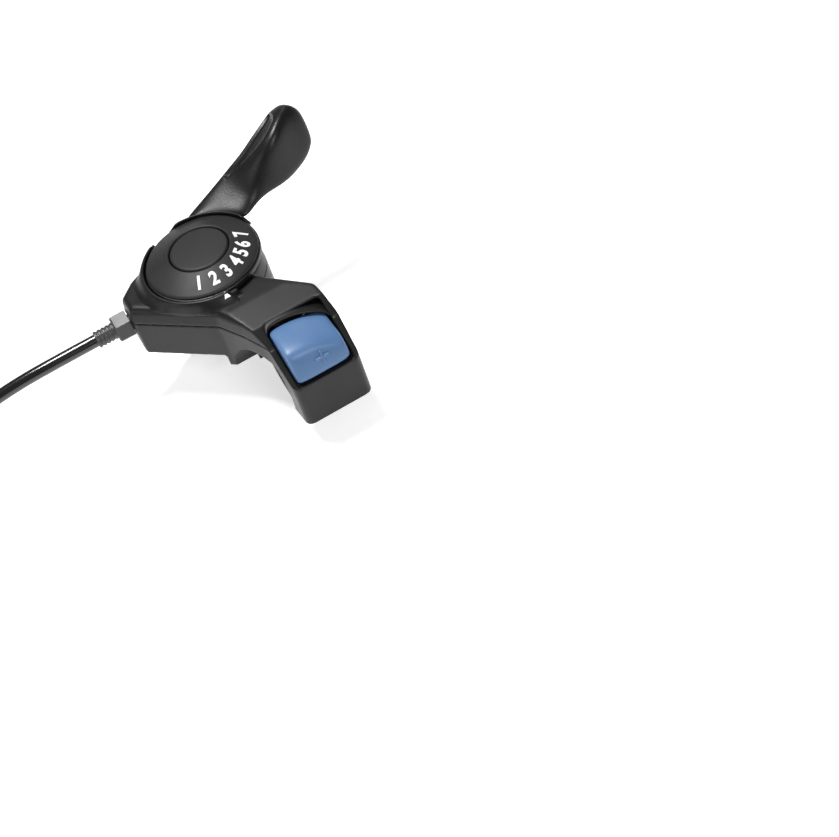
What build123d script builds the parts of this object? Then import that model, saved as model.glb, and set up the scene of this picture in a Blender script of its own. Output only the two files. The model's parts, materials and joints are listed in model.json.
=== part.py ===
"""Thumb shifter for a 22.2 mm handlebar, right-hand side, seven positions.

Millimetres. X runs along the handlebar, +X towards the grip; +Y points away from the rider;
+Z is up, along the dial's axis. The origin is the centre of the handlebar clamp.
"""

import os
from math import atan2, cos, degrees, pi, radians, sin, tan

from build123d import *

os.makedirs("parts", exist_ok=True)

# ---- driving dimensions -------------------------------------------------------------------

BAR_R = 11.1  # a 22.2 mm handlebar
SADDLE_WALL = 1.7
CLAMP_WIDTH = 12.0
BAND_WALL = 2.3
BAND_TOP = -1.0  # the band ends here, just under the bar's middle

AXIS_X, AXIS_Y = -9.4, 32.4  # the dial's axis
CLICK = 18.0  # degrees from one gear to the next
WALL = 1.8

FLOOR_BOTTOM, FLOOR_TOP = 4.0, 6.0
PARTING = 16.5
COVER_TOP = 22.0
COVER_TAPER = 8.0
SHOULDER_R = 2.2
ROOF = 2.0
COLLAR_TOP = 24.2
POD_BOTTOM = -6.2

HUB_BOTTOM, HUB_TOP = 22.4, 24.3
DIAL_R = 17.0
DIAL_FIT = 0.3
CAP_R = 8.85
DIAL_RIM, DIAL_CROWN = 25.1, 28.0

DRUM_R = 9.25  # to the wire's centre: 2.9 mm of wire for each click
DRUM_BOTTOM, DRUM_TOP = 10.0, 15.4
FLANGE_R = 12.2
RATCHET_R = 13.2
RATCHET_BOTTOM, RATCHET_TOP = 15.6, 17.2

WIRE_R = 0.6
CABLE_R = 2.0
WIRE_Y, WIRE_Z = 35.7, 12.7  # the adjuster's axis
BARREL_END = -47.5

BUSH_R = 4.0
BOLT_R = 2.45  # M5
RUNNING = 0.05

BAND_R = BAR_R + BAND_WALL
GROUND = -BAND_R  # the lowest point of the shifter


def polar(radius, angle):
    """The point at this radius and angle about the dial's axis."""
    return (AXIS_X + radius * cos(radians(angle)), AXIS_Y + radius * sin(radians(angle)))


def level(z, x=0.0, y=0.0):
    """A horizontal plane at height z, with its origin over x, y."""
    return Plane.XY.offset(z).move(Location((x, y, 0)))


def across(x, y=0.0, z=0.0):
    """A plane across the handlebar at x: its first axis is +Y, its second +Z."""
    return Plane(origin=(x, y, z), x_dir=(0, 1, 0), z_dir=(1, 0, 0))


# ---- the housing's outline in plan --------------------------------------------------------

COLLAR_R = 20.3  # left of the dial
SIDE_R = 17.2  # right of the dial, under its rim
NOTCH = 121.0
nose_rear, nose_front, nose_shoulder = (-36.2, 29.8), (-36.2, 37.0), (-31.3, 41.8)
web_rear, bar_crest, pod_neck = (-16.0, 11.4), (-11.8, 3.0), (-8.3, -6.0)
pod_left, pod_right = (-7.9, -18.6), (13.4, -18.6)
pod_side, pod_shoulder = (14.2, -6.0), (13.6, 4.2)


def housing_outline(z, inset=0.0):
    """The housing's outline at height z, moved inwards by inset."""
    with BuildSketch(level(z)) as plan:
        with BuildLine():
            web_front = polar(SIDE_R, -52)
            Polyline(nose_rear, web_rear, bar_crest, pod_neck, pod_left, pod_right, pod_side,
                     pod_shoulder, web_front)
            CenterArc((AXIS_X, AXIS_Y), SIDE_R, -52, NOTCH + 52)
            Line(polar(SIDE_R, NOTCH), polar(COLLAR_R, NOTCH))
            CenterArc((AXIS_X, AXIS_Y), COLLAR_R, NOTCH, 20)
            Polyline(polar(COLLAR_R, NOTCH + 20), nose_shoulder, nose_front, nose_rear)
        make_face()
        corners = [(nose_rear, 1.5), (nose_front, 1.5), (pod_left, 2.2), (pod_right, 2.2),
                   (pod_shoulder, 3.0), (bar_crest, 4.0), (pod_side, 3.0), (web_rear, 3.0),
                   (pod_neck, 8.0),
                   (polar(COLLAR_R, NOTCH + 20), 4.0)]
        for (x, y), radius in corners:
            fillet(plan.vertices().sort_by_distance((x, y, z))[0], radius)
        if inset:
            offset(amount=-inset, mode=Mode.REPLACE)
    return plan.sketch


def side_profile(*points):
    """A closed profile in the Y-Z plane."""
    with BuildSketch(across(0)) as profile:
        with BuildLine():
            Polyline(*points, close=True)
        make_face()
    return profile.sketch


# The button pod's mouth slopes down towards the rider.
MOUTH_TOP, MOUTH_LIP = (-0.9, 20.7), (-18.6, 9.2)
mouth = side_profile((9.0, COVER_TOP + 0.01), MOUTH_TOP, MOUTH_LIP, (-25, 9.2), (-25, 30), (9, 30))

POCKET_LEFT, POCKET_RIGHT = -6.2, 11.8
POCKET_FLOOR, POCKET_BACK = 9.0, 2.0
BULKHEAD = 1.6
POCKET_WALL = 1.0
POCKET_CEILING, POCKET_BROW = 19.6, -0.7  # the brow hangs over the button's front edge
SLIDER_X, SLIDER_WIDTH = -1.5, 3.0
NOSE_WALL = -36.0
INSERT_R = 3.4

axle_place = (AXIS_X, AXIS_Y)
AXLE_BOSS_TOP, BUSH_TOP = 9.4, 24.5
HUB_SEAT, HUB_BOSS_R = 24.0, 9.6
screw_places = [(-24.0, 25.5), (-21.5, 44.5), (-16.5, 16.0)]
SCREW_R, SCREW_BOSS_R = 1.25, 1.9
pin_place, PIN_R = (-7.5, 13.6), 1.25
PIN_BOTTOM, PIN_SEAT = 9.0, 12.9
bolt_place = (-3.0, 18.5)
EAR_TOP, EAR_THICK, EAR_R = -0.6, 2.4, 5.5
NUT_BOTTOM, NUT_HEIGHT, NUT_R = 4.6, 4.0, 4.62
COLLAR_INNER, COLLAR_OUTER, COLLAR_END = DIAL_R + 0.9, 19.5, 280.0

# ---- lower housing ------------------------------------------------------------------------


def pod_pocket():
    """The button's pocket, with the bar's saddle left standing in it."""
    middle_x = (POCKET_LEFT + POCKET_RIGHT) / 2
    with BuildPart() as room:
        for front, top in ((POCKET_BACK, POCKET_CEILING), (POCKET_BROW, 29.0)):
            with BuildSketch(level(POCKET_FLOOR, middle_x, (front - 20) / 2)) as pocket_plan:
                Rectangle(POCKET_RIGHT - POCKET_LEFT, front + 20)
                fillet(pocket_plan.vertices().group_by(Axis.Y)[-1], 1.8)
            extrude(amount=top - POCKET_FLOOR)
        with BuildSketch(across(0)):
            Circle(BAR_R + SADDLE_WALL)
        extrude(amount=60, both=True, mode=Mode.SUBTRACT)
    return room.part


def pocket_block(bottom, top):
    """The material the pocket is cut from: its side walls and the bulkhead."""
    rear, front = -17.0, POCKET_BACK + BULKHEAD
    with BuildPart() as block:
        with BuildSketch(level(bottom, (POCKET_LEFT + POCKET_RIGHT) / 2, (rear + front) / 2)):
            Rectangle(POCKET_RIGHT - POCKET_LEFT + 2 * POCKET_WALL, front - rear)
        extrude(amount=top - bottom)
    return block.part


button_pocket = pod_pocket()

with BuildPart() as lower_housing:
    extrude(housing_outline(POD_BOTTOM), amount=PARTING - POD_BOTTOM)
    extrude(housing_outline(FLOOR_TOP, WALL), amount=PARTING - FLOOR_TOP + 1, mode=Mode.SUBTRACT)
    with BuildSketch(across(0)):
        Circle(BAR_R + SADDLE_WALL)
    extrude(amount=40, both=True)
    extrude(housing_outline(POD_BOTTOM), amount=PARTING - POD_BOTTOM, mode=Mode.INTERSECT)
    # solid below the button's pocket, with its side walls and a bulkhead in front of it
    with BuildSketch(across(POCKET_LEFT - 1.0)):
        with BuildLine():
            Polyline((-17.8, POD_BOTTOM), (-17.8, POCKET_FLOOR), (-9, POCKET_FLOOR), (-9, POD_BOTTOM),
                     close=True)
        make_face()
    extrude(amount=POCKET_RIGHT - POCKET_LEFT + 2)
    add(pocket_block(8, PARTING))
    # in front of the pod nothing reaches below the floor, or below the saddle's ends
    with BuildSketch(across(0)):
        with BuildLine():
            Polyline((-9, -20), (-9, 0), (BAR_R + SADDLE_WALL, 0), (BAR_R + SADDLE_WALL, FLOOR_BOTTOM),
                     (70, FLOOR_BOTTOM), (70, -20), close=True)
        make_face()
    extrude(amount=60, both=True, mode=Mode.SUBTRACT)
    # bosses: axle, cover screws, pawl pin, clamp nut, adjuster
    with BuildSketch(level(FLOOR_BOTTOM, AXIS_X, AXIS_Y)):
        Circle(6.2)
    extrude(amount=AXLE_BOSS_TOP - FLOOR_BOTTOM)
    with BuildSketch(level(FLOOR_BOTTOM)):
        with Locations(*screw_places):
            Circle(SCREW_BOSS_R)
    extrude(amount=PARTING - FLOOR_BOTTOM)
    with BuildSketch(level(FLOOR_BOTTOM, *pin_place)):
        Circle(2.4)
    extrude(amount=PIN_SEAT - FLOOR_BOTTOM)
    with BuildSketch(level(EAR_TOP, *bolt_place)):
        Circle(6.0)
    extrude(amount=NUT_BOTTOM + NUT_HEIGHT - EAR_TOP)
    with BuildSketch(across(NOSE_WALL, WIRE_Y, WIRE_Z)):
        Circle(4.6)
    extrude(amount=6.2)
    with BuildSketch(level(PARTING)):
        Rectangle(160, 160)
    extrude(amount=30, mode=Mode.SUBTRACT)
    # the handlebar, the mouth, the pocket and the slider's slot
    with BuildSketch(across(0)):
        Circle(BAR_R)
    extrude(amount=60, both=True, mode=Mode.SUBTRACT)
    extrude(mouth, amount=60, both=True, mode=Mode.SUBTRACT)
    add(button_pocket, mode=Mode.SUBTRACT)
    with BuildSketch(level(RATCHET_BOTTOM - 0.3, SLIDER_X, POCKET_BACK + 1)):
        Rectangle(SLIDER_WIDTH + 0.6, 6)
    extrude(amount=5, mode=Mode.SUBTRACT)
    # relief and hook slot for the clamp band
    with BuildSketch(across(-CLAMP_WIDTH / 2 - 0.3)):
        Circle(BAND_R + 0.2)
        Rectangle(80, 40, align=(Align.CENTER, Align.MIN), mode=Mode.SUBTRACT)
        with Locations((-14.0, -2.2)):
            Rectangle(3.6, 2.8)
    extrude(amount=CLAMP_WIDTH + 0.6, mode=Mode.SUBTRACT)
    # holes: axle and its nut, clamp bolt and its nut, cover screws, pawl pin, adjuster insert
    for place, bottom, top, hole in ((axle_place, FLOOR_BOTTOM, AXLE_BOSS_TOP, BOLT_R + 0.1),
                                     (bolt_place, -2, NUT_BOTTOM + 1, BOLT_R + 0.25),
                                     (pin_place, PIN_BOTTOM, PARTING, PIN_R)):
        with BuildSketch(level(bottom, *place)):
            Circle(hole)
        extrude(amount=top - bottom, mode=Mode.SUBTRACT)
    for place, bottom, height in ((axle_place, FLOOR_BOTTOM, 3.6), (bolt_place, NUT_BOTTOM, 10)):
        with BuildSketch(level(bottom, *place)):
            RegularPolygon(NUT_R + 0.05, 6)
        extrude(amount=height, mode=Mode.SUBTRACT)
    for radius, depth in ((SCREW_R, 20), (2.3, 1.4)):
        with BuildSketch(level(FLOOR_BOTTOM)):
            with Locations(*screw_places):
                Circle(radius)
        extrude(amount=depth, mode=Mode.SUBTRACT)
    with BuildSketch(across(NOSE_WALL - 4, WIRE_Y, WIRE_Z)):
        Circle(INSERT_R)
    extrude(amount=12, mode=Mode.SUBTRACT)
lower_housing.part.label = "lower_housing"
export_step(lower_housing.part, "parts/lower_housing.step")

# ---- upper cover --------------------------------------------------------------------------

with BuildPart() as upper_cover:
    extrude(housing_outline(PARTING), amount=COVER_TOP - PARTING, taper=COVER_TAPER)
    fillet(upper_cover.edges().group_by(Axis.Z)[-1], SHOULDER_R)
    # the collar round the dial's rider side
    collar_x, collar_y = cos(radians(NOTCH)), sin(radians(NOTCH))
    with BuildSketch(Plane(origin=(AXIS_X, AXIS_Y, 0), x_dir=(collar_x, collar_y, 0),
                           z_dir=(collar_y, -collar_x, 0))) as collar:
        with BuildLine():
            Polyline((COLLAR_INNER, COVER_TOP - 1.4), (COLLAR_OUTER, COVER_TOP - 1.4),
                     (COLLAR_OUTER - 0.4, COLLAR_TOP), (COLLAR_INNER, COLLAR_TOP), close=True)
        make_face()
        fillet(collar.vertices().group_by(Axis.Z)[-1], 0.5)
    revolve(axis=Axis((AXIS_X, AXIS_Y, 0), (0, 0, 1)), revolution_arc=COLLAR_END - NOTCH)
    extrude(housing_outline(PARTING, WALL), amount=COVER_TOP - ROOF - PARTING, taper=COVER_TAPER,
            mode=Mode.SUBTRACT)
    add(pocket_block(PARTING, COVER_TOP - ROOF))
    with BuildSketch(level(PARTING)):
        with Locations(*screw_places):
            Circle(SCREW_BOSS_R)
    extrude(amount=COVER_TOP - ROOF - PARTING + 0.5)
    extrude(mouth, amount=60, both=True, mode=Mode.SUBTRACT)
    add(button_pocket, mode=Mode.SUBTRACT)
    with BuildSketch(level(PARTING - 1, SLIDER_X, POCKET_BACK + 1)):
        Rectangle(SLIDER_WIDTH + 0.6, 6)
    extrude(amount=RATCHET_TOP + 0.3 - PARTING + 1, mode=Mode.SUBTRACT)
    with BuildSketch(level(PARTING, AXIS_X, AXIS_Y)):
        Circle(HUB_BOSS_R + DIAL_FIT)
    extrude(amount=20, mode=Mode.SUBTRACT)
    with BuildSketch(level(PARTING)):
        with Locations(*screw_places):
            Circle(SCREW_R)
    extrude(amount=3.0, mode=Mode.SUBTRACT)
    with BuildSketch(across(NOSE_WALL - 4, WIRE_Y, WIRE_Z)):
        Circle(4.6)
    extrude(amount=12, mode=Mode.SUBTRACT)
upper_cover.part.label = "upper_cover"
export_step(upper_cover.part, "parts/upper_cover.step")

# ---- clamp band, bolt and nut -------------------------------------------------------------

with BuildPart() as clamp_band:
    with BuildSketch(across(-CLAMP_WIDTH / 2)):
        Circle(BAND_R)
        Circle(BAR_R, mode=Mode.SUBTRACT)
        with Locations((0, BAND_TOP)):
            Rectangle(80, 40, align=(Align.CENTER, Align.MIN), mode=Mode.SUBTRACT)
        with Locations((-BAR_R - 2.9, -2.0)):
            Rectangle(2.6, 2.0)
    extrude(amount=CLAMP_WIDTH)
    with BuildSketch(level(BAND_TOP - EAR_THICK)):
        with BuildLine():
            ear_left, ear_right = bolt_place[0] - EAR_R, bolt_place[0] + EAR_R
            Polyline((ear_left, bolt_place[1]), (ear_left, BAR_R + 1.0), (ear_right, BAR_R + 1.0),
                     (ear_right, bolt_place[1]))
            CenterArc(bolt_place, EAR_R, 0, 180)
        make_face()
        with Locations(bolt_place):
            Circle(BOLT_R + 0.25, mode=Mode.SUBTRACT)
    extrude(amount=EAR_THICK)
clamp_band.part.label = "clamp_band"
export_step(clamp_band.part, "parts/clamp_band.step")


def hex_nut(place, bottom, height):
    """An M5 nut with its axis upright."""
    with BuildPart() as nut:
        with BuildSketch(level(bottom, *place)):
            RegularPolygon(NUT_R, 6)
            Circle(BOLT_R + RUNNING, mode=Mode.SUBTRACT)
        extrude(amount=height)
    return nut.part


head_bottom = BAND_TOP - EAR_THICK - 4.6
with BuildPart() as clamp_bolt:
    with BuildSketch(level(head_bottom, *bolt_place)):
        Circle(4.2)
    extrude(amount=4.6)
    chamfer(clamp_bolt.edges().group_by(Axis.Z)[0], 0.5)
    with BuildSketch(level(head_bottom + 4.6, *bolt_place)):
        Circle(BOLT_R)
    extrude(amount=NUT_BOTTOM + NUT_HEIGHT + 0.4 - head_bottom - 4.6)
    with BuildSketch(level(head_bottom, *bolt_place)):
        RegularPolygon(2.3, 6)
    extrude(amount=2.6, mode=Mode.SUBTRACT)
clamp_bolt.part.label = "clamp_bolt"
export_step(clamp_bolt.part, "parts/clamp_bolt.step")

clamp_nut = hex_nut(bolt_place, NUT_BOTTOM, NUT_HEIGHT)
clamp_nut.label = "clamp_nut"
export_step(clamp_nut, "parts/clamp_nut.step")

# ---- axle, its nut, bush and washers ------------------------------------------------------

with BuildPart() as pivot_bolt:
    with BuildSketch(level(FLOOR_BOTTOM + 0.2, *axle_place)):
        Circle(BOLT_R)
    extrude(amount=BUSH_TOP - FLOOR_BOTTOM - 0.2)
    with BuildSketch(level(BUSH_TOP, *axle_place)):
        Circle(BUSH_R + 0.4)
    extrude(amount=2.0)
    chamfer(pivot_bolt.edges().group_by(Axis.Z)[-1], 0.4)
    with BuildSketch(level(BUSH_TOP + 2.0, *axle_place)):
        RegularPolygon(1.7, 6)
    extrude(amount=-1.4, mode=Mode.SUBTRACT)
pivot_bolt.part.label = "pivot_bolt"
export_step(pivot_bolt.part, "parts/pivot_bolt.step")

axle_nut = hex_nut(axle_place, FLOOR_BOTTOM + 0.1, 3.4)
axle_nut.label = "axle_nut"
export_step(axle_nut, "parts/axle_nut.step")


def ring(bottom, top, inner, outer):
    """A plain ring about the dial's axis."""
    with BuildPart() as piece:
        with BuildSketch(level(bottom, *axle_place)):
            Circle(outer)
            Circle(inner, mode=Mode.SUBTRACT)
        extrude(amount=top - bottom)
    return piece.part


rings = {
    "axle_bushing": ring(AXLE_BOSS_TOP, BUSH_TOP, BOLT_R + RUNNING, BUSH_R),
    "thrust_washer": ring(AXLE_BOSS_TOP, DRUM_BOTTOM - RUNNING, BUSH_R + RUNNING, 6.0),
    "wave_washer": ring(HUB_SEAT + RUNNING, BUSH_TOP, BUSH_R + RUNNING, 6.5),
}
for name, piece in rings.items():
    piece.label = name
    export_step(piece, f"parts/{name}.step")

# ---- cover screws -------------------------------------------------------------------------

with BuildPart() as cover_screws:
    with BuildSketch(level(FLOOR_BOTTOM + 0.1)):
        with Locations(*screw_places):
            Circle(2.2)
    extrude(amount=1.2)
    with BuildSketch(level(FLOOR_BOTTOM + 0.1)):
        with Locations(*screw_places):
            Circle(SCREW_R - RUNNING)
    extrude(amount=PARTING + 2.4 - FLOOR_BOTTOM)
    with BuildSketch(level(FLOOR_BOTTOM + 0.1)):
        with Locations(*screw_places):
            Rectangle(2.4, 0.5)
            Rectangle(0.5, 2.4)
    extrude(amount=0.7, mode=Mode.SUBTRACT)
cover_screws.part.label = "cover_screws"
export_step(cover_screws.part, "parts/cover_screws.step")

# ---- cable drum, ratchet wheel, the wire wound on the drum --------------------------------

wire_bend = (-25.5, WIRE_Y)
bend_x, bend_y = AXIS_X - wire_bend[0], AXIS_Y - wire_bend[1]
bend_angle = degrees(atan2(bend_y, bend_x) - atan2(DRUM_R, (bend_x ** 2 + bend_y ** 2 - DRUM_R ** 2) ** 0.5))
LEAVE = bend_angle - 90  # where the wire meets the drum
HEAD = LEAVE + 107  # where its head sits, in second gear
head_place = polar(DRUM_R, HEAD)

with BuildPart() as cable_drum:
    with BuildSketch(Plane(origin=(AXIS_X, AXIS_Y, 0), x_dir=(1, 0, 0), z_dir=(0, -1, 0))):
        with BuildLine():
            Polyline((BUSH_R + RUNNING, DRUM_BOTTOM), (FLANGE_R, DRUM_BOTTOM), (FLANGE_R, WIRE_Z - 0.9),
                     (DRUM_R - WIRE_R - 0.05, WIRE_Z - 0.9), (DRUM_R - WIRE_R - 0.05, WIRE_Z + 0.9),
                     (FLANGE_R, WIRE_Z + 0.9), (FLANGE_R, DRUM_TOP), (BUSH_R + RUNNING, DRUM_TOP),
                     close=True)
        make_face()
    revolve(axis=Axis((AXIS_X, AXIS_Y, 0), (0, 0, 1)))
    with BuildSketch(level(DRUM_BOTTOM + 0.8, *head_place)):
        Circle(2.25)
    extrude(amount=10, mode=Mode.SUBTRACT)
cable_drum.part.label = "cable_drum"
export_step(cable_drum.part, "parts/cable_drum.step")

with BuildPart() as wire_head:
    with BuildSketch(level(DRUM_BOTTOM + 0.85, *head_place)):
        Circle(2.2)
    extrude(amount=DRUM_TOP - DRUM_BOTTOM - 0.95)
wire_head.part.label = "wire_head"
export_step(wire_head.part, "parts/wire_head.step")

with BuildPart() as wound_wire:
    with BuildLine(level(WIRE_Z)) as wound_path:
        CenterArc(axle_place, DRUM_R, LEAVE, HEAD - LEAVE - 14.0)
    with BuildSketch(wound_path.line ^ 0):
        Circle(WIRE_R)
    sweep()
wound_wire.part.label = "wound_wire"
export_step(wound_wire.part, "parts/wound_wire.step")

TOOTH = 1.3
PAWL_ANGLE = -105.8
with BuildPart() as ratchet_wheel:
    with BuildSketch(level(RATCHET_BOTTOM)) as ratchet_plan:
        with Locations(axle_place):
            Circle(RATCHET_R)
            Circle(BUSH_R + RUNNING, mode=Mode.SUBTRACT)
        for step in range(-1, 6):
            notch = PAWL_ANGLE + CLICK * step
            with BuildLine():
                Polyline(polar(RATCHET_R + 0.3, notch - 8.0), polar(RATCHET_R - TOOTH, notch),
                         polar(RATCHET_R + 0.3, notch + 1.5), close=True)
            make_face(mode=Mode.SUBTRACT)
    extrude(amount=RATCHET_TOP - RATCHET_BOTTOM)
ratchet_wheel.part.label = "ratchet_wheel"
export_step(ratchet_wheel.part, "parts/ratchet_wheel.step")

# ---- thumb lever --------------------------------------------------------------------------

# Sections across the handlebar, each from its rider-side lower edge up over the ridge and
# the top face, then down the far side. The first value is the section's X.
lever_sections = [
    (-6.0, [(48.6, 22.8), (48.7, 24.2), (49.6, 25.2), (50.8, 25.3), (51.8, 25.0), (52.3, 24.2),
            (52.0, 23.0), (50.5, 22.6)]),
    (1.0, [(44.6, 23.0), (45.2, 24.4), (47.6, 25.6), (51.0, 26.5), (53.3, 26.8), (54.5, 25.8),
           (54.0, 23.8), (51.5, 22.7), (48.5, 22.5), (46.0, 22.5)]),
    (8.0, [(39.2, 23.2), (40.0, 24.6), (44.0, 26.2), (50.5, 28.7), (54.2, 29.8), (55.6, 28.7),
           (54.6, 25.2), (50.0, 23.2), (45.0, 22.6), (41.0, 22.5)]),
    (12.5, [(42.2, 23.4), (43.2, 25.6), (46.3, 27.2), (50.5, 29.8), (53.8, 31.6), (56.0, 30.6),
            (55.4, 26.0), (50.0, 23.2)]),
    (17.0, [(43.4, 24.0), (44.9, 28.0), (46.9, 33.0), (48.6, 34.4), (53.0, 34.3), (56.6, 33.0),
            (55.4, 27.5), (49.0, 23.8)]),
    (23.0, [(43.2, 24.0), (44.7, 31.0), (45.6, 37.6), (47.3, 39.2), (53.0, 38.4), (58.0, 36.4),
            (55.8, 29.5), (49.0, 24.0)]),
    (29.0, [(44.9, 24.6), (46.4, 32.0), (49.2, 40.4), (51.2, 41.8), (55.5, 41.0), (59.6, 38.8),
            (56.6, 31.5), (50.5, 25.0)]),
    (34.0, [(47.2, 26.2), (48.6, 33.0), (53.2, 41.0), (55.2, 41.9), (57.6, 40.9), (59.0, 38.6),
            (56.4, 32.0), (51.6, 27.0)]),
    (37.0, [(49.8, 29.4), (50.4, 32.4), (53.0, 37.2), (54.0, 37.8), (55.0, 37.2), (55.4, 35.6),
            (54.2, 32.2), (52.0, 29.8)]),
]
with BuildPart() as thumb_lever:
    for station, points in lever_sections:
        with BuildSketch(across(station)):
            with BuildLine():
                Spline(*points, periodic=True)
            make_face()
    loft(ruled=True)
    with BuildSketch(level(HUB_BOTTOM, 15.0, 45.0)):
        Rectangle(70, 60)
    extrude(amount=-5, mode=Mode.SUBTRACT)
    with BuildSketch(level(HUB_BOTTOM - 0.4, *axle_place)):
        Circle(DIAL_R + DIAL_FIT)
    extrude(amount=20, mode=Mode.SUBTRACT)
    with BuildSketch(level(HUB_BOTTOM, *axle_place)):
        Circle(DIAL_R + DIAL_FIT + 0.2)
    extrude(amount=HUB_TOP - HUB_BOTTOM)
    with BuildSketch(level(RATCHET_TOP + 0.05, *axle_place)):
        Circle(HUB_BOSS_R)
    extrude(amount=HUB_TOP - RATCHET_TOP - 0.1)
    with BuildSketch(level(RATCHET_TOP, *axle_place)):
        Circle(BUSH_R + RUNNING)
    extrude(amount=20, mode=Mode.SUBTRACT)
    with BuildSketch(level(HUB_SEAT, *axle_place)):
        Circle(7.0)
    extrude(amount=20, mode=Mode.SUBTRACT)
thumb_lever.part.label = "thumb_lever"
export_step(thumb_lever.part, "parts/thumb_lever.step")

# ---- dial and its cap ---------------------------------------------------------------------

dial_side = Plane(origin=(AXIS_X, AXIS_Y, 0), x_dir=(1, 0, 0), z_dir=(0, -1, 0))
dial_line = Axis((AXIS_X, AXIS_Y, 0), (0, 0, 1))
with BuildPart() as indicator_dial:
    with BuildSketch(dial_side):
        with BuildLine():
            Polyline((CAP_R + 0.25, HUB_TOP), (DIAL_R, HUB_TOP), (DIAL_R, DIAL_RIM - 0.3),
                     (DIAL_R - 0.3, DIAL_RIM), (CAP_R + 0.7, DIAL_CROWN), (CAP_R + 0.25, DIAL_CROWN - 0.2),
                     close=True)
        make_face()
    revolve(axis=dial_line)
indicator_dial.part.label = "indicator_dial"
export_step(indicator_dial.part, "parts/indicator_dial.step")

with BuildPart() as dial_cap:
    with BuildSketch(level(HUB_TOP + 0.05, *axle_place)):
        Circle(CAP_R)
    extrude(amount=DIAL_CROWN + 0.3 - HUB_TOP - 0.05)
    fillet(dial_cap.edges().group_by(Axis.Z)[-1], 0.5)
    with BuildSketch(level(HUB_TOP, *axle_place)):
        Circle(CAP_R - 1.6)
    extrude(amount=DIAL_CROWN - 0.9 - HUB_TOP, mode=Mode.SUBTRACT)
dial_cap.part.label = "dial_cap"
export_step(dial_cap.part, "parts/dial_cap.step")

# ---- holding pawl, its pin and spring -----------------------------------------------------

tail_place = (-1.5, 12.9)
PAWL_CLEAR = 0.15
with BuildPart() as hold_pawl:
    with BuildSketch(level(RATCHET_BOTTOM)):
        with BuildLine():
            nose_tip = polar(RATCHET_R + PAWL_CLEAR, PAWL_ANGLE)
            nose_back = polar(RATCHET_R + 1.2, PAWL_ANGLE - 2.5)
            Polyline(nose_tip, nose_back, (pin_place[0] - 1.0, pin_place[1] - 2.2),
                     (pin_place[0] + 1.0, pin_place[1] - 2.2), (tail_place[0], tail_place[1] - 1.2),
                     (tail_place[0] + 1.0, tail_place[1]), (tail_place[0], tail_place[1] + 1.2),
                     (pin_place[0] + 1.2, pin_place[1] + 2.0), close=True)
        make_face()
        with Locations(pin_place):
            Circle(PIN_R + RUNNING, mode=Mode.SUBTRACT)
    extrude(amount=RATCHET_TOP - RATCHET_BOTTOM)
hold_pawl.part.label = "hold_pawl"
export_step(hold_pawl.part, "parts/hold_pawl.step")

with BuildPart() as pawl_pin:
    with BuildSketch(level(PIN_BOTTOM, *pin_place)):
        Circle(PIN_R)
    extrude(amount=RATCHET_TOP + 0.1 - PIN_BOTTOM)
    with BuildSketch(level(RATCHET_TOP + 0.1, *pin_place)):
        Circle(2.0)
    extrude(amount=0.6)
pawl_pin.part.label = "pawl_pin"
export_step(pawl_pin.part, "parts/pawl_pin.step")


def coil_spring(start, direction, turns, radius, wire, pitch):
    """A round-wire spring from its start along a direction."""
    with BuildPart() as spring:
        with BuildLine():
            path = Helix(pitch=pitch, height=pitch * turns, radius=radius, center=start,
                         direction=direction)
        with BuildSketch(Plane(origin=path @ 0, z_dir=path % 0)):
            Circle(wire)
        sweep(path=path, is_frenet=True)
    return spring.part


pawl_spring = coil_spring((*pin_place, PIN_SEAT + 0.3), (0, 0, 1), 2, PIN_R + 0.5, 0.25, 0.9)
pawl_spring.label = "pawl_spring"
export_step(pawl_spring, "parts/pawl_spring.step")

# ---- release button, its slider and spring ------------------------------------------------

BUTTON_LEFT, BUTTON_RIGHT = -5.9, 11.4
BUTTON_REAR, BUTTON_FRONT = -18.2, -1.2
button_side = side_profile((BUTTON_REAR, POCKET_FLOOR + 0.3), (-14.4, 18.6), (-8, 19.2),
                           (BUTTON_FRONT, 19.0), (BUTTON_FRONT, 13.5), (-6.0, 13.1), (-9.8, 11.3),
                           (-12.6, POCKET_FLOOR + 0.3))
spring_place = (6.5, 15.6)
with BuildPart() as release_button:
    with BuildSketch(level(5)) as button_plan:
        with BuildLine():
            Polyline((BUTTON_LEFT, BUTTON_REAR - 0.2), (BUTTON_RIGHT, BUTTON_REAR - 0.2),
                     (BUTTON_RIGHT - 0.8, BUTTON_FRONT), (BUTTON_LEFT + 1.4, BUTTON_FRONT), close=True)
        make_face()
        fillet(button_plan.vertices().group_by(Axis.Y)[-1], 3.0)
    extrude(amount=20)
    extrude(button_side, amount=40, both=True, mode=Mode.INTERSECT)
    fillet(release_button.edges().group_by(Axis.Z)[-1], 0.8)
    with BuildSketch(Plane(origin=(spring_place[0], BUTTON_FRONT, spring_place[1]), x_dir=(1, 0, 0),
                           z_dir=(0, 1, 0))):
        Circle(2.2)
    extrude(amount=-5.5, mode=Mode.SUBTRACT)
release_button.part.label = "release_button"
export_step(release_button.part, "parts/release_button.step")

SLIDER_TIP = 9.9
with BuildPart() as release_slider:
    with BuildSketch(level(RATCHET_BOTTOM, SLIDER_X, (BUTTON_FRONT + SLIDER_TIP) / 2)):
        Rectangle(SLIDER_WIDTH, SLIDER_TIP - BUTTON_FRONT)
    extrude(amount=RATCHET_TOP - RATCHET_BOTTOM)
    fillet(release_slider.edges().filter_by(Axis.Z).group_by(Axis.Y)[-1], 1.2)
release_slider.part.label = "release_slider"
export_step(release_slider.part, "parts/release_slider.step")

spring_seat = (spring_place[0], BUTTON_FRONT - 5.2, spring_place[1])
button_spring = coil_spring(spring_seat, (0, 1, 0), 6, 1.6, 0.2, 1.35)
button_spring.label = "button_spring"
export_step(button_spring, "parts/button_spring.step")

# ---- barrel adjuster and its threaded insert ----------------------------------------------

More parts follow.
